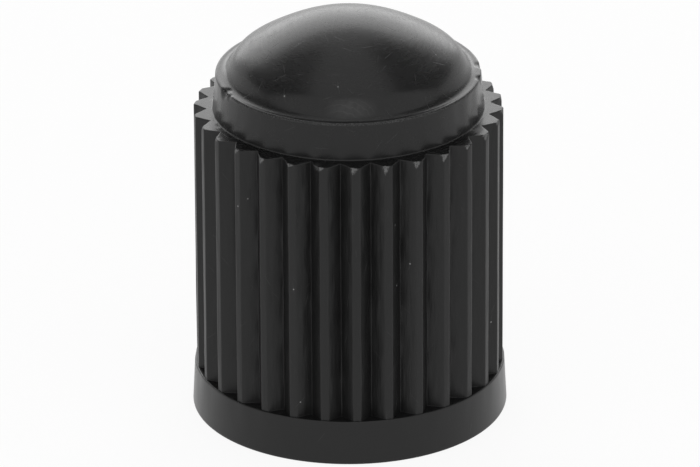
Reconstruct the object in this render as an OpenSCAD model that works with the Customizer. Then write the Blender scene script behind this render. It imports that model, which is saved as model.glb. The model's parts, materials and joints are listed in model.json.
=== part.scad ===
// Dust cap for the stem of a car tyre valve, moulded in one piece of black plastic.
// It stands on its open end. The stem goes in from below and screws into the bore.
// The origin is the centre of the open end, and +Z points up through the dome.

/* [Ribbed barrel] */
// Diameter over the grip ribs
rib_d = 10.04; // [9.6:0.02:11]
// Number of grip ribs round the barrel
rib_count = 30; // [24:1:34]
// Width of the flat land along the outside of each rib
rib_land_w = 0.24; // [0.15:0.01:0.35]
// Rounding along both edges of each land
rib_edge_r = 0.05; // [0.02:0.01:0.08]
// Rounding of the ribs' outer edge at the shoulder
rib_top_r = 0.04; // [0.01:0.01:0.1]
// Depth of the grooves between the ribs
groove_depth = 0.31; // [0.2:0.01:0.4]
// Radius along the bottom of each groove
groove_root_r = 0.12; // [0.06:0.01:0.2]
// Height of the flat shoulder at the top of the ribs, above the open end
shoulder_z = 10.43; // [9:0.1:12]

/* [Skirt] */
// Height of the plain skirt below the ribs
skirt_h = 1.5; // [0.8:0.1:2.5]
// How far the skirt's upper edge stands out past the ribs
skirt_step = 0.055; // [0.02:0.005:0.3]
// How much further out the skirt is at the open end than at its upper edge
skirt_flare = 0.075; // [0:0.005:0.3]
// Rounding of the skirt's upper edge
skirt_top_r = 0.05; // [0.01:0.01:0.1]
// Rounding of the outer edge at the open end
base_edge_r = 0.06; // [0.02:0.01:0.15]

/* [Neck and dome] */
// Diameter of the neck where it leaves the shoulder
neck_d = 8.8; // [8:0.1:9.2]
// Height of the neck above the shoulder
neck_h = 1.23; // [0.6:0.05:2]
// Draft of the neck's wall, in degrees
neck_draft = 4.5; // [0:0.5:8]
// Fillet between the shoulder and the neck
neck_fillet_r = 0.08; // [0.03:0.01:0.12]
// Rounding of the neck's upper edge
lip_edge_r = 0.06; // [0.02:0.01:0.12]
// Width of the flat ledge between the neck's edge and the dome
ledge_w = 0.28; // [0.15:0.01:0.5]
// Rise of the dome above the ledge
dome_rise = 1.92; // [1:0.05:3]

/* [Bore] */
// Diameter of the bore, at the roots of its thread
thread_d = 7.8; // [7:0.1:8.3]
// Width of the chamfer at the bore's mouth
lead_in_w = 0.35; // [0.1:0.05:0.6]
// Distance from the shoulder down to the top of the threaded bore
thread_drop = 1.7; // [1:0.1:3]
// Diameter of the pocket above the thread, which clears the stem's tip
pocket_d = 6.2; // [5:0.1:6.6]
// Rounding round the pocket's closed end
pocket_corner_r = 0.6; // [0.2:0.1:1]
// Thickness of plastic between the pocket and the top of the dome
roof_t = 1.8; // [1.2:0.1:2.2]

/* [Hidden] */
$fn = 96;
// Straight steps in a small rounded edge
edge_steps = 4;
// Straight steps in the curve at the bottom of a groove
root_steps = 6;
// How far a cutter reaches past the face that it cuts
cut_past = 0.5;

rib_r = rib_d / 2;
skirt_r = rib_r + skirt_step;
base_r = skirt_r + skirt_flare;
neck_r = neck_d / 2;
neck_top_z = shoulder_z + neck_h;
neck_top_r = neck_r - neck_h * tan(neck_draft);
dome_foot_r = neck_top_r - ledge_w;
dome_r = (pow(dome_foot_r, 2) + pow(dome_rise, 2)) / (2 * dome_rise);
cap_h = neck_top_z + dome_rise;
thread_r = thread_d / 2;
thread_top_z = shoulder_z - thread_drop;
pocket_r = pocket_d / 2;
pocket_top_z = cap_h - roof_t;
// The seat between bore and pocket is a 45 degree cone
seat_top_z = thread_top_z + thread_r - pocket_r;

// Points of an arc round [x, z], from angle a0 to angle a1
function arc(x, z, r, a0, a1, steps) =
    [for (i = [0:steps]) let (a = a0 + (a1 - a0) * i / steps) [x + r * cos(a), z + r * sin(a)]];

// Half section of the skirt, flared towards the open end
module skirt_section() {
    top_r = min(skirt_top_r, skirt_step);
    polygon(concat(
        [[0, 0]],
        arc(base_r - base_edge_r, base_edge_r, base_edge_r, -90, 0, edge_steps),
        arc(skirt_r - top_r, skirt_h - top_r, top_r, 0, 90, edge_steps),
        [[0, skirt_h]]
    ));
}

// Half section of the barrel, before its grooves are cut
module barrel_section() {
    polygon(concat(
        [[0, skirt_h / 2], [rib_r, skirt_h / 2]],
        arc(rib_r - rib_top_r, shoulder_z - rib_top_r, rib_top_r, 0, 90, edge_steps),
        [[0, shoulder_z]]
    ));
}

// Half section of the neck, with a fillet at its foot and a rounded lip
module neck_section() {
    polygon(concat(
        [[0, skirt_h], [neck_r + neck_fillet_r, skirt_h]],
        arc(neck_r + neck_fillet_r, shoulder_z + neck_fillet_r, neck_fillet_r, -90, -180, edge_steps),
        arc(neck_top_r - lip_edge_r, neck_top_z - lip_edge_r, lip_edge_r, 0, 90, edge_steps),
        [[0, neck_top_z]]
    ));
}

// Half section of the dome, part of a circle centred on the axis
module dome_section() {
    intersection() {
        translate([0, cap_h - dome_r]) circle(r = dome_r);
        translate([0, neck_top_z - lip_edge_r]) square([dome_foot_r + lip_edge_r, dome_rise + 1]);
    }
}

// Section of one groove, with its centre line along +X: two flanks that meet in a root
// radius, and a rounded edge where each flank meets the outside of its rib
module groove_section() {
    mouth_a = 180 / rib_count - asin(rib_land_w / 2 / rib_r);
    root_x = rib_r - groove_depth + groove_root_r;
    // From the root's centre to where flank and rib would meet in a sharp edge
    to_mouth = rib_r * [cos(mouth_a), sin(mouth_a)] - [root_x, 0];
    // Direction of the flank's normal, into the rib
    flank_a = atan2(to_mouth[1], to_mouth[0]) + acos(groove_root_r / norm(to_mouth));
    // The rounded edge's centre is as far from the flank as from the outside of the rib
    centre_r = rib_r - rib_edge_r;
    flank_gap = root_x * cos(flank_a) + groove_root_r + rib_edge_r;
    edge_a = flank_a - acos(flank_gap / centre_r);
    turn = 180 + edge_a - flank_a;
    rounded = arc(
        centre_r * cos(edge_a), centre_r * sin(edge_a), rib_edge_r,
        flank_a + 180, flank_a + 180 + turn * (edge_steps - 1) / edge_steps, edge_steps - 1
    );
    // The last straight step runs on past the outside of the rib
    leave_a = edge_a + 90 - turn / (2 * edge_steps);
    leave = rounded[edge_steps - 1] + cut_past * rib_edge_r / groove_depth * [cos(leave_a), sin(leave_a)];
    half = concat(
        arc(root_x, 0, groove_root_r, 180, flank_a, root_steps / 2),
        rounded,
        [leave, [rib_r + cut_past, leave[1]]]
    );
    polygon(concat(half, [for (i = [len(half) - 1:-1:1]) [half[i][0], -half[i][1]]]));
}

module grooves() {
    for (i = [0:rib_count - 1])
        rotate([0, 0, i * 360 / rib_count])
            translate([0, 0, skirt_h])
                linear_extrude(height = shoulder_z - skirt_h + cut_past)
                    groove_section();
}

// Threaded bore, conical seat and blind pocket, open at the bottom
module bore() {
    rotate_extrude()
        polygon(concat(
            [[0, -cut_past], [thread_r + lead_in_w, -cut_past], [thread_r + lead_in_w, 0]],
            [[thread_r, lead_in_w], [thread_r, thread_top_z], [pocket_r, seat_top_z]],
            arc(pocket_r - pocket_corner_r, pocket_top_z - pocket_corner_r, pocket_corner_r, 0, 90, edge_steps),
            [[0, pocket_top_z]]
        ));
}

module cap() {
    color("#1b1b1b")
        difference() {
            union() {
                difference() {
                    rotate_extrude() {
                        skirt_section();
                        barrel_section();
                    }
                    grooves();
                }
                rotate_extrude() {
                    neck_section();
                    dome_section();
                }
            }
            bore();
        }
}

cap();
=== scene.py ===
# %% [markdown]
# # A dust cap for a tyre valve
# The object is one small moulding of black plastic, about 10 mm across and 14 mm tall. From the
# floor up it has a plain skirt, a barrel with grip ribs, a flat shoulder, a short neck and a
# domed top. The solid from the CAD step gives its place and its sizes. This notebook gives it
# its looks: a finer mesh of the same form, the thread inside, the small flaws of a cheap
# moulding, and a finish that catches the light as the real plastic does.

import json
import math
import random

import bmesh
import bpy
from mathutils import Euler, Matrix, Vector, noise


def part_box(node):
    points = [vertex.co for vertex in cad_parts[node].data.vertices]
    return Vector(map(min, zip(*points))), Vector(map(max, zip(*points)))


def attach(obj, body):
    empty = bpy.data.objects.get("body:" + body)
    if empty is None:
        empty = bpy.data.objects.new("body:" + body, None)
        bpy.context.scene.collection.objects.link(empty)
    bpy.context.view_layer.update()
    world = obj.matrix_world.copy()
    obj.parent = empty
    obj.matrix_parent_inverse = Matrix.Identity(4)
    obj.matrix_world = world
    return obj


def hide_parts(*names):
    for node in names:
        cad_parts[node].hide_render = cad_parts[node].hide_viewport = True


MM = 0.001
FULL_TURN = 2 * math.pi
scene = bpy.context.scene
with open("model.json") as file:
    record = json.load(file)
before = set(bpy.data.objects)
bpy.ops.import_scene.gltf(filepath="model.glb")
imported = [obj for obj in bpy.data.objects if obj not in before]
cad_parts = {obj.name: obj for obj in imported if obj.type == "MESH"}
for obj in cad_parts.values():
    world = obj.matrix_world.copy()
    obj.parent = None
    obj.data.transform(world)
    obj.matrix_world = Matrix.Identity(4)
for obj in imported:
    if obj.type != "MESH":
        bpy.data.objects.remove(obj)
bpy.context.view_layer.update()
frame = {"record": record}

# %% [markdown]
# ## The camera
# The photograph was taken with a long lens from a little above the cap. Each rim of the cap
# shows as an ellipse. How flat the ellipses are gives the camera's height, 24.6 degrees above
# the floor, and how little the far rims shrink gives its distance, 26 cm. A parallel camera
# would be simpler, but a real lens keeps the slight narrowing towards the floor.

# %% Place the camera
PHOTO_W = 700
PHOTO_H = 467
FOCAL_PX = 8000
PIXEL = 0.032574 * MM
CAMERA_ELEVATION = math.radians(24.58)
CAMERA_AZIMUTH = math.radians(-2.66)
CAMERA_ROLL = math.radians(-0.3)
# A point on the cap's axis, and the pixel of the photograph where it shows
AXIS_POINT = Vector((0, 0, 6.515 * MM))
AXIS_PIXEL = (349.0, 215.5)

camera_data = bpy.data.cameras.new("photo_camera")
camera_data.lens = camera_data.sensor_width * FOCAL_PX / PHOTO_W
camera_data.clip_start = 10 * MM
camera_data.clip_end = 10
camera = bpy.data.objects.new("photo_camera", camera_data)
scene.collection.objects.link(camera)
scene.camera = camera

turn = Euler((math.pi / 2 - CAMERA_ELEVATION, 0, CAMERA_AZIMUTH)).to_matrix()
turn = turn @ Euler((0, 0, CAMERA_ROLL)).to_matrix()
aside = (PHOTO_W / 2 - AXIS_PIXEL[0]) * PIXEL
below = (AXIS_PIXEL[1] - PHOTO_H / 2) * PIXEL
camera.rotation_euler = turn.to_euler()
camera.location = AXIS_POINT + turn @ Vector((aside, below, FOCAL_PX * PIXEL))
print("Camera at", [round(v / MM, 1) for v in camera.location], "mm, lens", round(camera_data.lens), "mm")

# %% [markdown]
# ## The studio
# A black glossy object is hardly seen by its own colour: what shows is the room mirrored in
# it. The photograph's cap stood in a white tent. So the world is plain white, and the cap
# mirrors white everywhere. Diffuse rays get a little less, which leaves room for the lamp.

# %% Set the view and the white tent
TENT_LIGHT = 0.9
scene.view_settings.view_transform = "Standard"
world = bpy.data.worlds.new("white_tent")
scene.world = world
world.use_nodes = True


def seen_directly(tree):
    """A socket that is 1 for rays from the camera, mirrored rays and rays through glass."""
    path = tree.nodes.new("ShaderNodeLightPath")
    total = path.outputs["Is Camera Ray"]
    for kind in ("Is Glossy Ray", "Is Transmission Ray"):
        add = tree.nodes.new("ShaderNodeMath")
        add.operation = "ADD"
        add.use_clamp = True
        tree.links.new(total, add.inputs[0])
        tree.links.new(path.outputs[kind], add.inputs[1])
        total = add.outputs["Value"]
    return total


tree = world.node_tree
tree.nodes.clear()
unseen = tree.nodes.new("ShaderNodeBackground")
unseen.inputs["Strength"].default_value = TENT_LIGHT
shown = tree.nodes.new("ShaderNodeBackground")
for background in (unseen, shown):
    background.inputs["Color"].default_value = (1, 1, 1, 1)
choose = tree.nodes.new("ShaderNodeMixShader")
tree.links.new(seen_directly(tree), choose.inputs[0])
tree.links.new(unseen.outputs[0], choose.inputs[1])
tree.links.new(shown.outputs[0], choose.inputs[2])
output = tree.nodes.new("ShaderNodeOutputWorld")
tree.links.new(choose.outputs[0], output.inputs["Surface"])
print("White tent at", TENT_LIGHT, "for diffuse light")

# %% [markdown]
# ## The floor
# The tent's floor is white paper. Most of what the camera sees of it is a plain white glow,
# and the rest is its own lit surface, so the cap still has its soft shadow. Seen from below
# it is clear, which lets a camera look into the cap from underneath.

# %% Lay the floor
FLOOR_SIZE = 3.0
FLOOR_GLOW = 0.9
bpy.ops.mesh.primitive_grid_add(x_subdivisions=8, y_subdivisions=8, size=FLOOR_SIZE)
floor = bpy.context.object
floor.name = "floor"

paper = bpy.data.materials.new("white_paper")
paper.use_nodes = True
tree = paper.node_tree
surface = tree.nodes["Principled BSDF"]
surface.inputs["Base Color"].default_value = (0.95, 0.95, 0.95, 1)
surface.inputs["Roughness"].default_value = 0.9
surface.inputs["Specular IOR Level"].default_value = 0.1
glow = tree.nodes.new("ShaderNodeEmission")
glow.inputs["Color"].default_value = (1, 1, 1, 1)
share = tree.nodes.new("ShaderNodeMath")
share.operation = "MULTIPLY"
share.inputs[1].default_value = FLOOR_GLOW
tree.links.new(seen_directly(tree), share.inputs[0])
lit = tree.nodes.new("ShaderNodeMixShader")
tree.links.new(share.outputs[0], lit.inputs[0])
tree.links.new(surface.outputs[0], lit.inputs[1])
tree.links.new(glow.outputs[0], lit.inputs[2])
sides = tree.nodes.new("ShaderNodeNewGeometry")
clear = tree.nodes.new("ShaderNodeBsdfTransparent")
two_sided = tree.nodes.new("ShaderNodeMixShader")
tree.links.new(sides.outputs["Backfacing"], two_sided.inputs[0])
tree.links.new(lit.outputs[0], two_sided.inputs[1])
tree.links.new(clear.outputs[0], two_sided.inputs[2])
tree.links.new(two_sided.outputs[0], tree.nodes["Material Output"].inputs["Surface"])
floor.data.materials.append(paper)
print("Floor", FLOOR_SIZE, "m across")

# %% [markdown]
# ## The soft boxes
# The bright top of the dome is the mirror image of a large soft box that hangs behind the cap,
# from just above the floor to about 40 degrees up. A small weak one above the camera shows at
# the dome's foot. A lamp's power is worked out from how bright its image has to be, since a
# lamp's glow is its power over pi times its area.

# %% Hang the soft boxes
LAMP_DISTANCE = 0.4


def direction_to(azimuth, elevation):
    """A direction from the cap. Azimuth 0 is straight behind it, and negative is to the left."""
    azimuth = math.radians(azimuth)
    elevation = math.radians(elevation)
    flat = math.cos(elevation)
    return Vector((math.sin(azimuth) * flat, math.cos(azimuth) * flat, math.sin(elevation)))


def hang(thing, azimuth, elevation):
    """Puts a lamp or a card at its distance in that direction, turned to face the cap."""
    direction = direction_to(azimuth, elevation)
    thing.location = AXIS_POINT + direction * LAMP_DISTANCE
    thing.rotation_euler = direction.to_track_quat("Z", "Y").to_euler()
    thing.visible_camera = False
    scene.collection.objects.link(thing)


def add_soft_box(name, size, azimuth, elevation, glow_level):
    """A rectangular lamp that faces the cap."""
    data = bpy.data.lights.new(name, "AREA")
    data.shape = "RECTANGLE"
    data.size, data.size_y = size
    data.energy = glow_level * math.pi * size[0] * size[1]
    hang(bpy.data.objects.new(name, data), azimuth, elevation)
    print(name, "of", round(data.energy, 3), "W")


add_soft_box("back_soft_box", (0.43, 0.3), -1, 22, 1.65)
add_soft_box("front_soft_box", (0.22, 0.08), 180, 54, 0.4)

# %% [markdown]
# ## The dark cards
# Photographers hang dark cards beside a shiny black thing to give it dark sides. One hangs on
# the left and one on the right, halfway up the tent. The camera doesn't see them: only
# their mirror images show on the dome.

# %% Hang the dark cards
CARD_SIZE = 0.34
CARD_COLOUR = (0.3, 0.3, 0.3, 1)
card_paint = bpy.data.materials.new("dark_card")
card_paint.use_nodes = True
card_surface = card_paint.node_tree.nodes["Principled BSDF"]
card_surface.inputs["Base Color"].default_value = CARD_COLOUR
card_surface.inputs["Roughness"].default_value = 1


def add_card(name, azimuth, elevation):
    """A square dark card that faces the cap and that the camera doesn't see."""
    shape = bmesh.new()
    bmesh.ops.create_grid(shape, x_segments=2, y_segments=2, size=CARD_SIZE / 2)
    data = bpy.data.meshes.new(name)
    shape.to_mesh(data)
    shape.free()
    data.materials.append(card_paint)
    card = bpy.data.objects.new(name, data)
    hang(card, azimuth, elevation)
    print(name, "at azimuth", azimuth, "and elevation", elevation)


add_card("left_card", -70, 46)
add_card("right_card", 64, 45)

# %% [markdown]
# ## The sizes of the moulding
# These are the sizes of the solid, so that the finer mesh keeps its form. The overall ones and
# the bore come from the frame: its box and its mounts. A few of the others are corrected by
# some hundredths of a millimetre after a closer look at the photograph. The grooves are a
# little deeper and sharper, the neck's foot is sharper, and its lip is rounder.

# %% Read the sizes
low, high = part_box("cap")
mounts = {m["name"]: m for m in frame["record"]["mounts"]}
BASE_R = high.x
CAP_H = high.z
BORE_R = mounts["stem_thread"]["dims"]["r_mm"] * MM
POCKET_R = mounts["tip_pocket"]["dims"]["r_mm"] * MM

RIB_COUNT = 30
RIB_R = 5.02 * MM
RIB_LAND_W = 0.24 * MM
RIB_EDGE_R = 0.05 * MM
GROOVE_DEPTH = 0.4 * MM
GROOVE_ROOT_R = 0.015 * MM
SKIRT_H = 1.5 * MM
SKIRT_R = 5.075 * MM
SKIRT_EDGE_R = 0.05 * MM
BASE_EDGE_R = 0.06 * MM
SHOULDER_Z = 10.43 * MM
NECK_R = 4.4 * MM
NECK_H = 1.23 * MM
NECK_DRAFT = math.radians(4.5)
NECK_FILLET_R = 0.04 * MM
LIP_R = 0.08 * MM
LEDGE_W = 0.28 * MM
LEAD_IN = 0.35 * MM
THREAD_TOP_Z = 8.73 * MM
POCKET_CORNER_R = 0.6 * MM
ROOF_T = 1.8 * MM

NECK_TOP_Z = SHOULDER_Z + NECK_H
NECK_TOP_R = NECK_R - NECK_H * math.tan(NECK_DRAFT)
DOME_FOOT_R = NECK_TOP_R - LEDGE_W
DOME_RISE = CAP_H - NECK_TOP_Z
DOME_R = (DOME_FOOT_R**2 + DOME_RISE**2) / (2 * DOME_RISE)
SEAT_TOP_Z = THREAD_TOP_Z + BORE_R - POCKET_R
POCKET_TOP_Z = CAP_H - ROOF_T
print("Cap", round(2 * BASE_R / MM, 2), "mm across and", round(CAP_H / MM, 2), "mm tall, dome radius",
      round(DOME_R / MM, 2), "mm")

# %% [markdown]
# ## One rib, seen from above
# The grip is 30 shallow V grooves with tight bottoms. Between them stay the ribs, each with a
# narrow flat land and two softly rounded edges. The edges are what shows: each carries a thin
# line of light. The columns of the mesh therefore aren't spread evenly round the barrel. They
# follow the section of half a groove, with more of them on the curves, and are then mirrored
# and repeated.

# %% Work out the columns of the barrel
ROOT_STEPS = 2
FLANK_STEPS = 6
EDGE_STEPS = 3
LAND_STEPS = 2


def arc_points(centre_x, centre_y, radius, start, stop, steps):
    """Points along an arc, from the angle start to the angle stop, both ends included."""
    angles = [start + (stop - start) * i / steps for i in range(steps + 1)]
    return [(centre_x + radius * math.cos(a), centre_y + radius * math.sin(a)) for a in angles]


def line_points(start, stop, steps):
    """The points between two points, without the ends, a little closer together near the ends."""
    shares = [(1 - math.cos(math.pi * i / steps)) / 2 for i in range(1, steps)]
    return [tuple(a + (b - a) * s for a, b in zip(start, stop)) for s in shares]


def half_groove():
    """Section from the middle of a groove, on the X axis, to the middle of the next land."""
    half_pitch = math.pi / RIB_COUNT
    mouth = half_pitch - math.asin(RIB_LAND_W / 2 / RIB_R)
    root_x = RIB_R - GROOVE_DEPTH + GROOVE_ROOT_R
    to_mouth = Vector((RIB_R * math.cos(mouth) - root_x, RIB_R * math.sin(mouth)))
    flank = math.atan2(to_mouth.y, to_mouth.x) + math.acos(GROOVE_ROOT_R / to_mouth.length)
    centre_r = RIB_R - RIB_EDGE_R
    gap = root_x * math.cos(flank) + GROOVE_ROOT_R + RIB_EDGE_R
    edge = flank - math.acos(gap / centre_r)
    centre_x, centre_y = centre_r * math.cos(edge), centre_r * math.sin(edge)
    root = arc_points(root_x, 0, GROOVE_ROOT_R, math.pi, flank, ROOT_STEPS)
    rounded = arc_points(centre_x, centre_y, RIB_EDGE_R, flank - math.pi, edge, EDGE_STEPS)
    land = arc_points(0, 0, RIB_R, edge, half_pitch, LAND_STEPS)
    return root + line_points(root[-1], rounded[0], FLANK_STEPS) + rounded + land[1:]


def barrel_columns():
    """(angle, radius) of every column of the barrel, once round."""
    half = [(math.atan2(y, x), math.hypot(x, y)) for x, y in half_groove()]
    pitch = 2 * math.pi / RIB_COUNT
    one = half + [(pitch - a, r) for a, r in reversed(half[1:-1])]
    return [(a + pitch * i, r) for i in range(RIB_COUNT) for a, r in one]


ribbed = barrel_columns()
print(len(ribbed), "columns round the barrel, radius", round(min(r for a, r in ribbed) / MM, 3), "to",
      round(max(r for a, r in ribbed) / MM, 3), "mm")

# %% [markdown]
# ## Rings and bands
# The cap is built like a stack of hoops. A ring is one level of points round the axis, and a
# band of faces joins it to the next ring. Where a plain part meets the ribbed one, their rings
# have different numbers of points, so the band walks round both at once and always steps on
# the ring that lies behind. Such joints are put on flat faces, where they can't be seen.

# %% Helpers for rings and bands
moulding = bmesh.new()
# Per point: how torn the plastic is, and along the lip partly a painted highlight
torn_and_highlight_layer = moulding.verts.layers.float.new("torn_and_highlight")
SKIRT_ZONE, GRIP_ZONE, CROWN_ZONE, INSIDE_ZONE = range(4)


def even_angles(count):
    """That many angles, evenly spread once round."""
    return [2 * math.pi * i / count for i in range(count)]


def add_ring(angles, radii, heights):
    """A ring of new points, as (angle, point) pairs. Radius and height are one number or one each."""
    if not isinstance(radii, list):
        radii = [radii] * len(angles)
    if not isinstance(heights, list):
        heights = [heights] * len(angles)
    return [
        (a, moulding.verts.new((r * math.cos(a), r * math.sin(a), z)))
        for a, r, z in zip(angles, radii, heights)
    ]


def add_face(zone, *points):
    """One smooth face in the material of its zone."""
    face = moulding.faces.new(points)
    face.material_index = zone
    face.smooth = True


def next_angle(ring, i):
    """The angle of the point after point i: a full turn after the last, and more once it is used."""
    if i + 1 < len(ring):
        return ring[i + 1][0]
    return FULL_TURN if i < len(ring) else 2 * FULL_TURN


def add_band(first, second, zone):
    """The faces between two rings."""
    if len(first) == len(second):
        for i in range(len(first)):
            add_face(zone, first[i - 1][1], first[i][1], second[i][1], second[i - 1][1])
        return
    i = j = 0
    while i < len(first) or j < len(second):
        here, there = first[i % len(first)][1], second[j % len(second)][1]
        if next_angle(first, i) <= next_angle(second, j):
            add_face(zone, here, first[(i + 1) % len(first)][1], there)
            i += 1
        else:
            add_face(zone, here, second[(j + 1) % len(second)][1], there)
            j += 1


def add_revolved(previous, profile, angles, zone):
    """A ring for each (radius, height) of the profile, joined to each other and to the ring before."""
    for radius, height in profile:
        ring = add_ring(angles, radius, height)
        if previous:
            add_band(previous, ring, zone)
        previous = ring
    return previous


def close_with_point(ring, height, zone):
    """A point on the axis, joined to the last ring by a fan."""
    centre = moulding.verts.new((0, 0, height))
    for i in range(len(ring)):
        add_face(zone, ring[i - 1][1], ring[i][1], centre)


print("Zones: skirt, grip, crown, inside")

# %% [markdown]
# ## The skirt
# The plain skirt at the open end flares very slightly, because the mould has to let go of it.
# Its profile starts at the mouth of the bore and runs out under the rim, round the outer edge,
# up the wall and over the upper edge. It is turned round the axis as a potter's profile is.

# %% Build the skirt
SKIRT_COLUMNS = 360
SKIRT_ROWS = 8
quarter = math.pi / 2
mouth_r = BORE_R + LEAD_IN
base_flat_r = BASE_R - BASE_EDGE_R
skirt_flat_r = SKIRT_R - SKIRT_EDGE_R
base_edge = arc_points(base_flat_r, BASE_EDGE_R, BASE_EDGE_R, -quarter, 0, 5)
upper_edge = arc_points(skirt_flat_r, SKIRT_H - SKIRT_EDGE_R, SKIRT_EDGE_R, 0, quarter, 5)
skirt_profile = (
    [(mouth_r, 0)]
    + line_points((mouth_r, 0), base_edge[0], 4)
    + base_edge
    + line_points(base_edge[-1], upper_edge[0], SKIRT_ROWS)
    + upper_edge
)
plain = even_angles(SKIRT_COLUMNS)
mouth_ring = add_ring(plain, *skirt_profile[0])
skirt_top = add_revolved(mouth_ring, skirt_profile[1:], plain, SKIRT_ZONE)
print("Skirt of", len(skirt_profile), "rings")

# %% [markdown]
# ## The ribbed barrel
# The grooves stop on top of the skirt, in a small fillet, and run out through the shoulder.
# The barrel's rings all have the section of the grooves. They lie close together at the top,
# where the edges are chipped, and further apart below.

# %% Build the barrel
FOOT_FILLET_R = 0.02 * MM
TOP_EDGE_R = 0.035 * MM
TOP_CLOSE_ROWS = 12
TOP_CLOSE_SPAN = 0.5 * MM
BARREL_ROWS = 36
ribbed_angles = [a for a, r in ribbed]
ribbed_radii = [r for a, r in ribbed]


def foot_radius(radius):
    """Fillet where a column meets the skirt: full in the grooves, almost none under the lands."""
    return min(FOOT_FILLET_R, (skirt_flat_r - radius) / 2)


def barrel_ring(outwards, heights):
    """A ring with the section of the grooves, moved outwards by one number for each column."""
    return add_ring(ribbed_angles, [r + o for r, o in zip(ribbed_radii, outwards)], heights)


previous = skirt_top
feet = [foot_radius(r) for r in ribbed_radii]
for angle in [quarter * i / 4 for i in range(5)]:
    out = [f * (1 - math.sin(angle)) for f in feet]
    up = [SKIRT_H + f * (1 - math.cos(angle)) for f in feet]
    ring = barrel_ring(out, up)
    add_band(previous, ring, GRIP_ZONE)
    previous = ring

low_z = SKIRT_H + FOOT_FILLET_R
high_z = SHOULDER_Z - TOP_CLOSE_SPAN
edge_z = SHOULDER_Z - TOP_EDGE_R
levels = [low_z + (high_z - low_z) * (i + 1) / BARREL_ROWS for i in range(BARREL_ROWS)]
levels += [high_z + (edge_z - high_z) * (i + 1) / TOP_CLOSE_ROWS for i in range(TOP_CLOSE_ROWS)]
still = [0] * len(ribbed)
for level in levels:
    ring = barrel_ring(still, level)
    add_band(previous, ring, GRIP_ZONE)
    previous = ring
for angle in [quarter * (i + 1) / 4 for i in range(4)]:
    inwards = [-TOP_EDGE_R * (1 - math.cos(angle))] * len(ribbed)
    ring = barrel_ring(inwards, SHOULDER_Z - TOP_EDGE_R * (1 - math.sin(angle)))
    add_band(previous, ring, GRIP_ZONE)
    previous = ring
print("Barrel of", len(levels) + 9, "rings of", len(ribbed), "points")

# %% [markdown]
# ## Shoulder, neck and dome
# Inside the ribs the shoulder runs flat to the neck. A fillet at the neck's foot, its slight
# draft, a rounded lip, a narrow ledge and the dome follow in one profile up to the axis. The
# dome is nearly part of a sphere. Its profile is an arc round a point on the axis that swells
# out a little above its foot, and a small hollow curve leads from the ledge up into it.

# %% Build the crown
NECK_COLUMNS = 360
DOME_COLUMNS = 240
DOME_RINGS = 46
# The dome is a little fuller than a sphere above its foot, by this much
DOME_SWELL = 0.09 * MM
DOME_SWELL_POWER = 4.5
# Radius of the hollow curve between the ledge and the dome
HOLLOW_R = 0.3 * MM
foot_r = NECK_R + NECK_FILLET_R
shoulder_edge = [r - TOP_EDGE_R for r in ribbed_radii]
for share_in in (0.12, 0.5):
    ring = add_ring(ribbed_angles, [r + (foot_r - r) * share_in for r in shoulder_edge], SHOULDER_Z)
    add_band(previous, ring, CROWN_ZONE)
    previous = ring

fillet = arc_points(foot_r, SHOULDER_Z + NECK_FILLET_R, NECK_FILLET_R, -quarter, -2 * quarter, 6)
lip = arc_points(NECK_TOP_R - LIP_R, NECK_TOP_Z - LIP_R, LIP_R, 0, quarter, 6)
neck_profile = fillet + line_points(fillet[-1], lip[0], 12) + lip
neck_profile += [(lip[-1][0] - 0.03 * MM, NECK_TOP_Z)]
neck_ring = add_revolved(previous, neck_profile, even_angles(NECK_COLUMNS), CROWN_ZONE)

# The hollow's centre lies one radius above the ledge, and just as far from the dome
hollow_z = NECK_TOP_Z + HOLLOW_R
dome_angle = math.acos((hollow_z - CAP_H + DOME_R) / (DOME_R + HOLLOW_R))
hollow_x = (DOME_R + HOLLOW_R) * math.sin(dome_angle)
dome_profile = arc_points(hollow_x, hollow_z, HOLLOW_R, -quarter, -quarter - dome_angle, 8)
for i in range(1, DOME_RINGS):
    share = 1 - i / DOME_RINGS
    angle = dome_angle * share
    swollen_r = DOME_R + DOME_SWELL * math.sin(math.pi * share**DOME_SWELL_POWER) ** 2
    dome_profile.append((swollen_r * math.sin(angle), CAP_H - DOME_R + swollen_r * math.cos(angle)))
dome_ring = add_revolved(neck_ring, dome_profile, even_angles(DOME_COLUMNS), CROWN_ZONE)
close_with_point(dome_ring, CAP_H, CROWN_ZONE)
print("Crown of", len(neck_profile) + len(dome_profile), "rings")

# %% [markdown]
# ## Walls that aren't quite true
# Plastic shrinks as it cools, and a worn mould drags on it as it comes out, so no wall of the
# real cap is perfectly even: the light along each groove wavers a little. A Displace modifier
# could do this. Moving the points here by a smooth noise is as short, gives the same result
# each time, and can leave the rim that the cap stands on untouched.

# %% Let the walls waver
# Depth, width and length of the long waves, and of the short ones in the grooves
LONG_WAVE = (0.012 * MM, 0.45 * MM, 2.6 * MM)
SHORT_WAVE = (0.03 * MM, 0.16 * MM, 0.6 * MM)
STILL_BELOW = 0.3 * MM
FULL_ABOVE = 1.5 * MM


def ramp(value, start, stop):
    """0 up to start, 1 from stop on, and a smooth curve in between."""
    t = min(max((value - start) / (stop - start), 0), 1)
    return t * t * (3 - 2 * t)


def waver(point, wave):
    """How far a point of a wall lies out of true."""
    depth, width, length = wave
    return depth * noise.noise(Vector((point.x / width, point.y / width, point.z / length)))


moved = 0
for vert in moulding.verts:
    spread = math.hypot(vert.co.x, vert.co.y)
    if STILL_BELOW < vert.co.z < NECK_TOP_Z - LIP_R and spread > NECK_TOP_R:
        off_true = waver(vert.co, LONG_WAVE)
        if SKIRT_H < vert.co.z < SHOULDER_Z and spread < RIB_R - RIB_EDGE_R:
            off_true += waver(vert.co, SHORT_WAVE)
        stretch = 1 + off_true * ramp(vert.co.z, STILL_BELOW, FULL_ABOVE) / spread
        vert.co.x *= stretch
        vert.co.y *= stretch
        moved += 1
print(moved, "points of the walls moved by up to", (LONG_WAVE[0] + SHORT_WAVE[0]) / MM, "mm")
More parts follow.
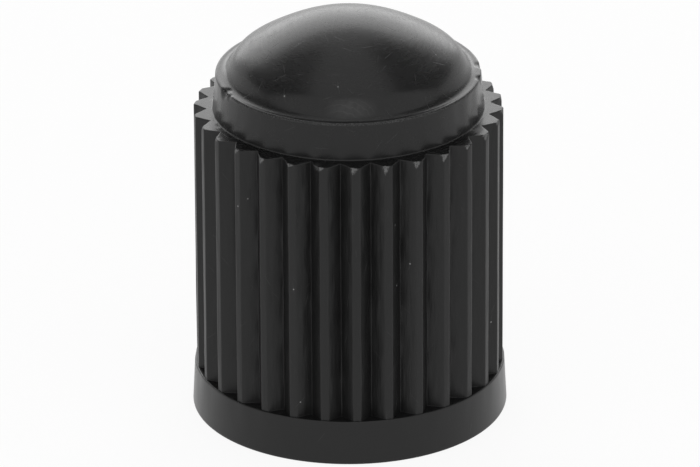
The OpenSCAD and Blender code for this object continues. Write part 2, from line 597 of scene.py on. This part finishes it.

# %% [markdown]
# ## Chipped corners
# Where the ribs end at the shoulder, the mould tore a small three-sided chip off the left
# corner of nearly every rib. A chip is a flat cut, so the points that stand proud of a
# slanting plane are moved down onto it. How far each one moved is kept on the mesh as a
# number on each point, and the material turns the torn plastic rough and pale by it. The
# same number later also paints a pale highlight along the neck's lip. The chips on the ribs
# that the photograph shows have their sizes from there, and the rest are drawn by lot,
# always in the same way.

# %% Chip the corners of the ribs
CHIP_WIDTH = 0.25 * MM
CHIP_DEPTH = 0.055 * MM
CHIP_SIDE = 0.27 * MM
CHIP_REACH = 0.7 * MM
# Width and depth of the unevenness of a chip's face
CHIP_GRAIN = 0.07 * MM
CHIP_GRAIN_DEPTH = 0.008 * MM
CHIP_SEED = 11
TORN_FULL = 0.012 * MM
FRONT_RIB = 22
# Heights of the chips in mm on the ribs that show, counted from the rib that faces the front
SEEN_CHIPS = {-6: 0.12, -5: 0.1, -4: 0.2, -3: 0.27, -2: 0.1, -1: 0.16, 0: 0.3, 1: 0.4, 2: 0.32, 3: 0.36,
              4: 0.2, 5: 0.26, 6: 0.14, 7: 0.2}
LARGEST_HIDDEN_CHIP = 0.36

half_pitch = math.pi / RIB_COUNT
half_land = math.asin(RIB_LAND_W / 2 / RIB_R)
top_verts = [
    v for v in moulding.verts
    if v.co.z > SHOULDER_Z - CHIP_REACH and math.hypot(v.co.x, v.co.y) > RIB_R - 1.5 * GROOVE_DEPTH
]


def chip(angle, height):
    """Cuts one corner off a rib: the plane meets its edge that far below the shoulder."""
    out = Vector((math.cos(angle), math.sin(angle), 0))
    along = Vector((-math.sin(angle), math.cos(angle), 0))
    up = Vector((0, 0, 1))
    corner = out * RIB_R + up * SHOULDER_Z
    foot = corner - up * height
    normal = (along * CHIP_WIDTH + up * height).cross(up * height - out * CHIP_DEPTH).normalized()
    for vert in top_verts:
        offset = vert.co - corner
        if offset.length > CHIP_REACH or abs(offset.dot(along)) > CHIP_SIDE:
            continue
        proud = (vert.co - foot).dot(normal) + CHIP_GRAIN_DEPTH * noise.noise(vert.co / CHIP_GRAIN)
        if proud > 0:
            vert.co -= normal * proud
            vert[torn_and_highlight_layer] = max(vert[torn_and_highlight_layer], min(proud / TORN_FULL, 1))


lot = random.Random(CHIP_SEED)
for rib in range(RIB_COUNT):
    hidden = lot.uniform(0, LARGEST_HIDDEN_CHIP)
    height = SEEN_CHIPS.get(rib - FRONT_RIB, hidden) * MM
    if height > TORN_FULL:
        chip((2 * rib + 1) * half_pitch - half_land, height)
print("Chips on", RIB_COUNT, "ribs,", sum(v[torn_and_highlight_layer] > 0 for v in top_verts), "points torn")

# %% [markdown]
# ## Nicks and a burr
# The neck's rim has a few small nicks, and a scrap of flash hangs beside one rib at the
# shoulder. Both are gentle pushes: a point moves most at the middle of the push and not at
# all at its edge. The lip also gets a thin pale line all round, which is partly wear from
# handling and partly a painted highlight on its rounded edge.

# %% Nick the rim, leave a burr, and wear the lip and paint a highlight on it
# Direction in degrees, half width and depth in mm
NICKS = (
    (199, 0.26, 0.08),
    (204, 0.15, 0.04),
    (349, 0.2, 0.05),
    (3, 0.26, 0.05),
    (68, 0.2, 0.05),
    (131, 0.3, 0.04),
)
# How far a nick goes down for each step inwards
NICK_DOWN = 0.7
NICK_WEAR = 0.35
BURR_ANGLE = 255.2
BURR_RADIUS = 0.22 * MM
BURR_PUSH = 0.09 * MM
BURR_WEAR = 0.6
# How pale the lip is all round: partly wear from handling, partly a painted highlight
LIP_WEAR_AND_HIGHLIGHT = 0.45


def outward(degrees):
    """The direction away from the axis at that angle."""
    return Vector((math.cos(math.radians(degrees)), math.sin(math.radians(degrees)), 0))


def push(centre, radius, way, torn_and_highlight):
    """Moves the points round a centre by up to the length of way."""
    for vert in moulding.verts:
        nearness = 1 - (vert.co - centre).length_squared / radius**2
        if nearness > 0:
            vert.co += way * nearness
            vert[torn_and_highlight_layer] = max(vert[torn_and_highlight_layer], torn_and_highlight * nearness)


rim_up = Vector((0, 0, NECK_TOP_Z))
for degrees, half_width, depth in NICKS:
    way = -(outward(degrees) + Vector((0, 0, NICK_DOWN))) * depth * MM
    push(outward(degrees) * NECK_TOP_R + rim_up, half_width * MM, way, NICK_WEAR)
burr_centre = outward(BURR_ANGLE) * (RIB_R - GROOVE_DEPTH / 2) + Vector((0, 0, SHOULDER_Z))
push(burr_centre, BURR_RADIUS, outward(BURR_ANGLE) * BURR_PUSH, BURR_WEAR)
# The lip's pale line: partly wear, partly a painted highlight on its rounded edge
for vert in moulding.verts:
    from_lip = math.hypot(vert.co.x, vert.co.y) - (NECK_TOP_R - LIP_R)
    if from_lip > 0 and vert.co.z > NECK_TOP_Z - LIP_R:
        vert[torn_and_highlight_layer] = max(vert[torn_and_highlight_layer], LIP_WEAR_AND_HIGHLIGHT)
print(len(NICKS), "nicks, a burr and a worn lip")

# %% [markdown]
# ## The bore and its thread
# The cap screws onto a stem with 32 turns to the inch. Inside, that thread is one long ridge
# with sloping sides. Its rings climb as they go round, one pitch for each turn, so that each
# ring follows one line along the ridge. The end of a ring then meets the ring that is one
# pitch further up. Points that would climb past either end of the bore stay at its end, and
# are merged there.

# %% Build the bore
BORE_COLUMNS = 120
PITCH = 25.4 / 32 * MM
RIDGE_DEPTH = 0.43 * MM
# The plain stretch at either end of the bore, and the length over which the ridge fades in
PLAIN_END = 0.1 * MM
RIDGE_FADE = 0.45 * MM
THREAD_FOOT_Z = LEAD_IN
# Along one pitch: how far along, and how high the ridge is there
RIDGE_SECTION = ((0.0, 0.0), (0.1, 0.0), (0.17, 0.12), (0.3, 0.6), (0.38, 0.93), (0.44, 1.0),
                 (0.56, 1.0), (0.62, 0.93), (0.7, 0.6), (0.83, 0.12), (0.9, 0.0))
bore_angles = even_angles(BORE_COLUMNS)


def ridge_height(share, z):
    """Height of the ridge above the bore's wall. It fades in and out near the ends."""
    start, stop = THREAD_FOOT_Z + PLAIN_END, THREAD_TOP_Z - PLAIN_END
    fade = ramp(z, start, start + RIDGE_FADE)
    fade *= 1 - ramp(z, stop - RIDGE_FADE, stop)
    return RIDGE_DEPTH * share * fade


bore_mouth = add_revolved(mouth_ring, [(BORE_R, LEAD_IN)], bore_angles, INSIDE_ZONE)
turns = math.ceil((THREAD_TOP_Z - THREAD_FOOT_Z) / PITCH) + 1
steps = [(turn_no, along, share) for turn_no in range(-1, turns) for along, share in RIDGE_SECTION]
helix = []
for turn_no, along, share in steps:
    heights = [(turn_no + along + a / (2 * math.pi)) * PITCH + THREAD_FOOT_Z for a in bore_angles]
    heights = [min(max(z, THREAD_FOOT_Z), THREAD_TOP_Z) for z in heights]
    helix.append(add_ring(bore_angles, [BORE_R - ridge_height(share, z) for z in heights], heights))
rows_a_turn = len(RIDGE_SECTION)
for row in range(len(helix) - 1):
    lower, upper = helix[row], helix[row + 1]
    for i in range(BORE_COLUMNS - 1):
        add_face(INSIDE_ZONE, lower[i][1], lower[i + 1][1], upper[i + 1][1], upper[i][1])
    beyond = row + rows_a_turn
    if beyond + 1 < len(helix):
        next_lower, next_upper = helix[beyond], helix[beyond + 1]
        add_face(INSIDE_ZONE, lower[-1][1], next_lower[0][1], next_upper[0][1], upper[-1][1])

corner_r, corner_z = POCKET_R - POCKET_CORNER_R, POCKET_TOP_Z - POCKET_CORNER_R
corner = arc_points(corner_r, corner_z, POCKET_CORNER_R, 0, quarter, 8)
pocket_profile = [(BORE_R, THREAD_TOP_Z), (POCKET_R, SEAT_TOP_Z)] + corner + [(POCKET_R / 3, POCKET_TOP_Z)]
pocket_ring = add_revolved(None, pocket_profile, bore_angles, INSIDE_ZONE)
close_with_point(pocket_ring, POCKET_TOP_Z, INSIDE_ZONE)
print("Thread of", round((THREAD_TOP_Z - THREAD_FOOT_Z) / PITCH, 1), "turns")

# %% [markdown]
# ## One closed mesh
# The points that lie on the same spot are merged, which closes the thread's ends and the
# bore's. A moulding is solid, so each edge must then join just two faces: the print counts
# those that don't. A fault in a band would show up here at once.

# %% Merge the ends of the thread and close the mesh
MERGE = 0.002 * MM
bmesh.ops.remove_doubles(moulding, verts=moulding.verts, dist=MERGE)
bmesh.ops.dissolve_degenerate(moulding, edges=moulding.edges, dist=MERGE)
bmesh.ops.recalc_face_normals(moulding, faces=moulding.faces)
loose = [e for e in moulding.edges if len(e.link_faces) != 2]
print(len(moulding.faces), "faces,", len(loose), "edges that don't join two faces")

# %% [markdown]
# ## The piece
# The mesh becomes one object. It rides the cap's only body and takes the solid's place.
# Corners sharper than 35 degrees stay crisp, and all others are shaded smooth.

# %% Make the piece
SHARP_CORNER = math.radians(35)
cap_mesh = bpy.data.meshes.new("cap_moulding")
moulding.to_mesh(cap_mesh)
moulding.free()
cap_mesh.set_sharp_from_angle(angle=SHARP_CORNER)
cap_piece = bpy.data.objects.new("cap_moulding", cap_mesh)
scene.collection.objects.link(cap_piece)
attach(cap_piece, "root")
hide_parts("cap")
cap_mesh.calc_loop_triangles()
print("The cap has", len(cap_mesh.loop_triangles), "triangles")

# %% [markdown]
# ## Tools for the materials
# Every part of the cap has the same plastic, but not the same surface: the ribs carry the
# marks of the mould, the top is worn and scratched, and the skirt is smooth. The effects are
# node groups with named sockets, each built once. Each material then places them with values
# of its own. These small helpers keep the node code short.

# %% Helpers for shader nodes
def join(tree, value, socket):
    """Links another socket to this one, or gives it a plain value."""
    if isinstance(value, bpy.types.NodeSocket):
        tree.links.new(value, socket)
    else:
        socket.default_value = value


def calc(tree, operation, *values, clamp=False):
    """A Math node on sockets or numbers."""
    node = tree.nodes.new("ShaderNodeMath")
    node.operation = operation
    node.use_clamp = clamp
    for value, socket in zip(values, node.inputs):
        join(tree, value, socket)
    return node.outputs["Value"]


def calc_vector(tree, operation, *values):
    """A Vector Math node on sockets or vectors."""
    node = tree.nodes.new("ShaderNodeVectorMath")
    node.operation = operation
    for value, socket in zip(values, node.inputs):
        join(tree, value, socket)
    return node.outputs["Value" if operation in ("DOT_PRODUCT", "LENGTH") else "Vector"]


def cloud(tree, point, detail=2.0):
    """Soft noise from 0 to 1, one unit across."""
    node = tree.nodes.new("ShaderNodeTexNoise")
    node.inputs["Scale"].default_value = 1
    node.inputs["Detail"].default_value = detail
    tree.links.new(point, node.inputs["Vector"])
    return node.outputs[0]


def cells(tree, point):
    """Space cut into cells one unit apart: the distance to the middle of the cell, and that middle."""
    node = tree.nodes.new("ShaderNodeTexVoronoi")
    node.inputs["Scale"].default_value = 1
    tree.links.new(point, node.inputs["Vector"])
    return node.outputs["Distance"], node.outputs["Position"]


def draw_lot(tree, point):
    """A value and a colour that are different for each cell."""
    node = tree.nodes.new("ShaderNodeTexWhiteNoise")
    tree.links.new(point, node.inputs["Vector"])
    return node.outputs["Value"], node.outputs["Color"]


def new_group(name, inputs, outputs):
    """An empty node group. An input is a name and a number, or a name and None for a point."""
    group = bpy.data.node_groups.new(name, "ShaderNodeTree")
    for label, value in inputs:
        kind = "NodeSocketVector" if value is None else "NodeSocketFloat"
        socket = group.interface.new_socket(name=label, in_out="INPUT", socket_type=kind)
        if value is not None:
            socket.default_value = value
    for label in outputs:
        group.interface.new_socket(name=label, in_out="OUTPUT", socket_type="NodeSocketFloat")
    given = group.nodes.new("NodeGroupInput").outputs
    result = group.nodes.new("NodeGroupOutput").inputs
    return group, given, result


def place(tree, group, values):
    """Places a group in a material, with its own values, and gives back its outputs."""
    node = tree.nodes.new("ShaderNodeGroup")
    node.node_tree = group
    for label, value in values.items():
        join(tree, value, node.inputs[label])
    return node.outputs


print("Helpers ready")

# %% [markdown]
# ## The skin of the moulding
# The mould's polish isn't even, so the gloss drifts in soft clouds, and under a lens there is
# a very fine grain. Both come from noise in the cap's own space, so nothing slides when the
# cap turns, and no picture has to be wrapped round it. All lengths are in millimetres.

# %% Group: moulded_skin
CLOUD_HEIGHT = 0.004
GRAIN_HEIGHT = 0.0006
moulded_skin, given, result = new_group(
    "moulded_skin", (("Point", None), ("Cloud Size", 1.2), ("Grain Size", 0.05)), ("Clouds", "Height")
)
clouds = cloud(moulded_skin, calc_vector(moulded_skin, "DIVIDE", given["Point"], given["Cloud Size"]))
grain = cloud(moulded_skin, calc_vector(moulded_skin, "DIVIDE", given["Point"], given["Grain Size"]))
clouds = calc(moulded_skin, "SUBTRACT", clouds, 0.5)
height = calc(moulded_skin, "MULTIPLY", grain, GRAIN_HEIGHT)
height = calc(moulded_skin, "MULTIPLY_ADD", clouds, CLOUD_HEIGHT, height)
join(moulded_skin, clouds, result["Clouds"])
join(moulded_skin, height, result["Height"])
print("Built moulded_skin")

# %% [markdown]
# ## Drag marks and wiped streaks
# The ribs slid out of the mould along the axis, which left faint lines from top to bottom.
# The top was wiped by fingers as the cap was turned, and its lines run round the axis. Both
# are noise that is stretched along the line. For the round ones the noise is read at the
# direction from the axis and at the distance from it, so they close without a seam.

# %% Groups: drag_marks and wiped_streaks
drag_marks, given, result = new_group(
    "drag_marks", (("Point", None), ("Spread", 0.08), ("Length", 3.0)), ("Marks",)
)
stretch_by = drag_marks.nodes.new("ShaderNodeCombineXYZ")
for label, source in (("X", "Spread"), ("Y", "Spread"), ("Z", "Length")):
    join(drag_marks, given[source], stretch_by.inputs[label])
stretched = calc_vector(drag_marks, "DIVIDE", given["Point"], stretch_by.outputs["Vector"])
marks = calc(drag_marks, "SUBTRACT", cloud(drag_marks, stretched, 3.0), 0.5)
join(drag_marks, marks, result["Marks"])

wiped_streaks, given, result = new_group(
    "wiped_streaks", (("Point", None), ("Spread", 0.08), ("Length", 3.0)), ("Marks",)
)
flat_point = calc_vector(wiped_streaks, "MULTIPLY", given["Point"], (1, 1, 0))
from_axis = calc_vector(wiped_streaks, "LENGTH", flat_point)
bearing = calc_vector(wiped_streaks, "NORMALIZE", flat_point)
bearing = calc_vector(wiped_streaks, "MULTIPLY", bearing, (3.0, 3.0, 0))
bearing = calc_vector(wiped_streaks, "DIVIDE", bearing, given["Length"])
ring_no = wiped_streaks.nodes.new("ShaderNodeCombineXYZ")
join(wiped_streaks, calc(wiped_streaks, "DIVIDE", from_axis, given["Spread"]), ring_no.inputs["Z"])
streak_point = calc_vector(wiped_streaks, "ADD", bearing, ring_no.outputs["Vector"])
marks = calc(wiped_streaks, "SUBTRACT", cloud(wiped_streaks, streak_point, 3.0), 0.5)
join(wiped_streaks, marks, result["Marks"])
print("Built drag_marks and wiped_streaks")

# %% [markdown]
# ## Hair scratches
# A scratch is a thin straight line, in any direction. Space is cut into cells, and each cell
# gets a thin slab, tilted by lot. Where the slab cuts the surface there is a line. Only a
# share of the cells has one, and it ends at some distance from the middle of the cell.

# %% Group: hair_scratches
hair_scratches, given, result = new_group(
    "hair_scratches",
    (("Point", None), ("Spacing", 1.1), ("Width", 0.012), ("Length", 1.4), ("Share", 0.4)),
    ("Mask",),
)
cell_point = calc_vector(hair_scratches, "DIVIDE", given["Point"], given["Spacing"])
middle = cells(hair_scratches, cell_point)[1]
away = calc_vector(hair_scratches, "SUBTRACT", cell_point, middle)
away = calc_vector(hair_scratches, "MULTIPLY", away, given["Spacing"])
luck, tint = draw_lot(hair_scratches, middle)
tilt = calc_vector(hair_scratches, "SUBTRACT", tint, (0.5, 0.5, 0.5))
tilt = calc_vector(hair_scratches, "NORMALIZE", tilt)
off_slab = calc(hair_scratches, "ABSOLUTE", calc_vector(hair_scratches, "DOT_PRODUCT", away, tilt))
line = calc(hair_scratches, "DIVIDE", off_slab, given["Width"])
line = calc(hair_scratches, "SUBTRACT", 1.0, line, clamp=True)
half_length = calc(hair_scratches, "MULTIPLY", given["Length"], 0.5)
reach = calc(hair_scratches, "DIVIDE", calc_vector(hair_scratches, "LENGTH", away), half_length)
reach = calc(hair_scratches, "SUBTRACT", 1.0, reach, clamp=True)
reach = calc(hair_scratches, "MULTIPLY", reach, 3.0, clamp=True)
there = calc(hair_scratches, "LESS_THAN", luck, given["Share"])
line = calc(hair_scratches, "MULTIPLY", line, reach)
join(hair_scratches, calc(hair_scratches, "MULTIPLY", line, there), result["Mask"])
print("Built hair_scratches")

# %% [markdown]
# ## Dust
# A black thing shows every speck. The same cells give them: a small round spot at the middle
# of a share of the cells, wherever that middle happens to lie on the surface.

# %% Group: dust_specks
dust_specks, given, result = new_group(
    "dust_specks", (("Point", None), ("Spacing", 0.5), ("Size", 0.03), ("Share", 0.3)), ("Mask",)
)
cell_point = calc_vector(dust_specks, "DIVIDE", given["Point"], given["Spacing"])
distance, middle = cells(dust_specks, cell_point)
speck = calc(dust_specks, "MULTIPLY", distance, given["Spacing"])
speck = calc(dust_specks, "DIVIDE", speck, given["Size"])
speck = calc(dust_specks, "SUBTRACT", 1.0, speck, clamp=True)
speck = calc(dust_specks, "MULTIPLY", speck, 2.0, clamp=True)
there = calc(dust_specks, "LESS_THAN", draw_lot(dust_specks, middle)[0], given["Share"])
join(dust_specks, calc(dust_specks, "MULTIPLY", speck, there), result["Mask"])
print("Built dust_specks")

# %% [markdown]
# ## Torn plastic and the lip's painted highlight
# The mesh says how torn each point is, and along the lip the same number is partly a painted
# highlight. That number changes evenly between the points, so a little noise is added to it
# before it is cut off, which makes the border ragged.

# %% Group: mask of torn plastic and of the lip's painted highlight
torn_and_highlight_edge, given, result = new_group(
    "torn_and_highlight_edge", (("Point", None), ("Torn and Highlight", 0.0), ("Grain Size", 0.04)), ("Mask",)
)
ragged = cloud(torn_and_highlight_edge, calc_vector(torn_and_highlight_edge, "DIVIDE", given["Point"], given["Grain Size"]))
ragged = calc(torn_and_highlight_edge, "SUBTRACT", ragged, 0.6)
ragged = calc(torn_and_highlight_edge, "MULTIPLY", ragged, 3.5)
torn_and_highlight = calc(torn_and_highlight_edge, "MULTIPLY_ADD", given["Torn and Highlight"], 1.2, ragged, clamp=True)
torn_and_highlight = calc(torn_and_highlight_edge, "MULTIPLY", torn_and_highlight, given["Torn and Highlight"], clamp=True)
join(torn_and_highlight_edge, torn_and_highlight, result["Mask"])
print("Built torn_and_highlight_edge")

# %% [markdown]
# ## The scar of the gate
# At the foot of the dome, in front, the plastic came into the mould. The stub was cut off
# there, and it left a dull patch with a few curved cut lines. The patch is the inside of a
# flat ball, and the lines are thin rings round a point beside it.

# %% Group: gate_scar
gate_scar, given, result = new_group("gate_scar", (("Point", None), ("Line Gap", 0.11)), ("Patch", "Lines"))
SCAR_MIDDLE = (-0.1, -3.82, 12.0)
SCAR_HALF_SIZE = (0.95, 0.32, 0.45)
RINGS_MIDDLE = (-0.8, -6.6, 12.0)
off_middle = calc_vector(gate_scar, "SUBTRACT", given["Point"], SCAR_MIDDLE)
off_middle = calc_vector(gate_scar, "DIVIDE", off_middle, SCAR_HALF_SIZE)
patch = calc(gate_scar, "SUBTRACT", 1.0, calc_vector(gate_scar, "LENGTH", off_middle), clamp=True)
patch = calc(gate_scar, "MULTIPLY", patch, 1.6, clamp=True)
blotch = cloud(gate_scar, calc_vector(gate_scar, "MULTIPLY", given["Point"], (6.0, 6.0, 6.0)))
ring_no = calc_vector(gate_scar, "LENGTH", calc_vector(gate_scar, "SUBTRACT", given["Point"], RINGS_MIDDLE))
ring_no = calc(gate_scar, "DIVIDE", ring_no, given["Line Gap"])
ring_no = calc(gate_scar, "ADD", ring_no, blotch)
lines = calc(gate_scar, "PINGPONG", ring_no, 0.5)
lines = calc(gate_scar, "MULTIPLY_ADD", lines, -10.0, 1.0, clamp=True)
lines = calc(gate_scar, "MULTIPLY", lines, patch)
join(gate_scar, calc(gate_scar, "MULTIPLY", patch, blotch), result["Patch"])
join(gate_scar, lines, result["Lines"])
print("Built gate_scar")

# %% [markdown]
# ## The four finishes
# The plastic itself is nearly black, and its gloss is soft: at a roughness of about a third,
# the bright soft box blurs on the dome as it does in the photograph. Each finish lists how
# rough its zone is and how much of each effect it has. The effects feed the colour, the
# roughness and a bump of a few thousandths of a millimetre. What is the same all over, such
# as the index of refraction, stands on the shader's own socket.

# %% The values of each finish
PLASTIC_IOR = 1.39
PLASTIC_GREY = 0.006
SCRATCH_GREY = 0.025
SCAR_GREY = 0.045
# Pale grey of torn plastic, also used as a painted highlight along the lip
TORN_AND_HIGHLIGHT_GREY = 0.13
DUST_GREY = 0.3
FINISHES = {
    "skirt": {"roughness": 0.31, "clouds": 0.08, "streaks": 0.05, "scratches": 0.12, "dust": 0.08},
    "grip": {"roughness": 0.4, "clouds": 0.08, "streaks": 0.2, "scratches": 0.15, "dust": 0.12},
    "crown": {"roughness": 0.27, "clouds": 0.12, "streaks": 0.16, "scratches": 0.6, "dust": 0.15},
    "inside": {"roughness": 0.42, "clouds": 0.1, "streaks": 0.1, "scratches": 0.0, "dust": 0.1},
}
# Spread, length and height of the drag marks or streaks, in mm
MARKS = {
    "skirt": (0.08, 3.0, 0.001),
    "grip": (0.1, 0.8, 0.009),
    "crown": (0.09, 0.55, 0.0022),
    "inside": (0.08, 3.0, 0.002),
}
SCRATCH = {"Spacing": 0.5, "Width": 0.011, "Length": 0.55}
SCRATCH_DEPTH = 0.002
SCAR_LINE_DEPTH = 0.004
# How much rougher than the skin each of them is
SCAR_ROUGHER = 0.3
SCRATCH_ROUGHER = 0.15
TORN_AND_HIGHLIGHT_ROUGHER = 0.3
DUST_ROUGHER = 0.4
print("Finishes:", ", ".join(FINISHES))

# %% [markdown]
# ## The materials
# One function makes the plastic of any zone: it places the groups, adds up what each does to
# the colour, the roughness and the height, and links the three sums to the shader. Only the
# crown has the gate's scar. Torn plastic, with the painted highlight along the lip, and dust
# are laid over the scratches, since they hide them.

# %% Build the materials
def grey(value):
    """A neutral colour."""
    return (value, value, value, 1)


def lay_over(tree, mask, colour, value):
    """A colour with a grey laid over it where the mask is 1."""
    node = tree.nodes.new("ShaderNodeMix")
    node.data_type = "RGBA"
    tree.links.new(mask, node.inputs["Factor"])
    under, over = [s for s in node.inputs if s.type == "RGBA"]
    join(tree, colour, under)
    over.default_value = grey(value)
    return [s for s in node.outputs if s.type == "RGBA"][0]


def plastic(zone, finish):
    """The black plastic of one zone."""
    material = bpy.data.materials.new(zone + "_plastic")
    material.use_nodes = True
    tree = material.node_tree
    shader = tree.nodes["Principled BSDF"]
    shader.inputs["IOR"].default_value = PLASTIC_IOR
    own_space = tree.nodes.new("ShaderNodeTexCoord").outputs["Object"]
    point = calc_vector(tree, "MULTIPLY", own_space, (1 / MM, 1 / MM, 1 / MM))
    torn_and_highlight_number = tree.nodes.new("ShaderNodeAttribute")
    torn_and_highlight_number.attribute_name = "torn_and_highlight"

    skin = place(tree, moulded_skin, {"Point": point})
    streak_group = wiped_streaks if zone == "crown" else drag_marks
    spread, length, marks_height = MARKS[zone]
    marks = place(tree, streak_group, {"Point": point, "Spread": spread, "Length": length})["Marks"]
    scratch = place(tree, hair_scratches, {"Point": point, "Share": finish["scratches"], **SCRATCH})["Mask"]
    dust = place(tree, dust_specks, {"Point": point, "Share": finish["dust"]})["Mask"]
    torn_and_highlight = place(tree, torn_and_highlight_edge, {"Point": point, "Torn and Highlight": torn_and_highlight_number.outputs["Fac"]})["Mask"]

    rough = calc(tree, "MULTIPLY_ADD", skin["Clouds"], finish["clouds"], finish["roughness"])
    rough = calc(tree, "MULTIPLY_ADD", marks, finish["streaks"], rough)
    height = calc(tree, "MULTIPLY_ADD", marks, marks_height, skin["Height"])
    colour = lay_over(tree, scratch, grey(PLASTIC_GREY), SCRATCH_GREY)
    if zone == "crown":
        scar = place(tree, gate_scar, {"Point": point})
        rough = calc(tree, "MULTIPLY_ADD", scar["Patch"], SCAR_ROUGHER, rough)
        height = calc(tree, "MULTIPLY_ADD", scar["Lines"], -SCAR_LINE_DEPTH, height)
        colour = lay_over(tree, scar["Patch"], colour, SCAR_GREY)
        colour = lay_over(tree, scar["Lines"], colour, SCAR_GREY)
    # Pale torn plastic, and along the lip partly a painted highlight
    colour = lay_over(tree, torn_and_highlight, colour, TORN_AND_HIGHLIGHT_GREY)
    colour = lay_over(tree, dust, colour, DUST_GREY)
    for mask, rougher in ((scratch, SCRATCH_ROUGHER), (torn_and_highlight, TORN_AND_HIGHLIGHT_ROUGHER), (dust, DUST_ROUGHER)):
        rough = calc(tree, "MULTIPLY_ADD", mask, rougher, rough, clamp=True)
    height = calc(tree, "MULTIPLY_ADD", scratch, -SCRATCH_DEPTH, height)

    bump = tree.nodes.new("ShaderNodeBump")
    bump.inputs["Distance"].default_value = MM
    tree.links.new(height, bump.inputs["Height"])
    tree.links.new(colour, shader.inputs["Base Color"])
    tree.links.new(rough, shader.inputs["Roughness"])
    tree.links.new(bump.outputs["Normal"], shader.inputs["Normal"])
    return material


for zone, finish in FINISHES.items():
    cap_mesh.materials.append(plastic(zone, finish))
print("Materials:", [m.name for m in cap_mesh.materials])
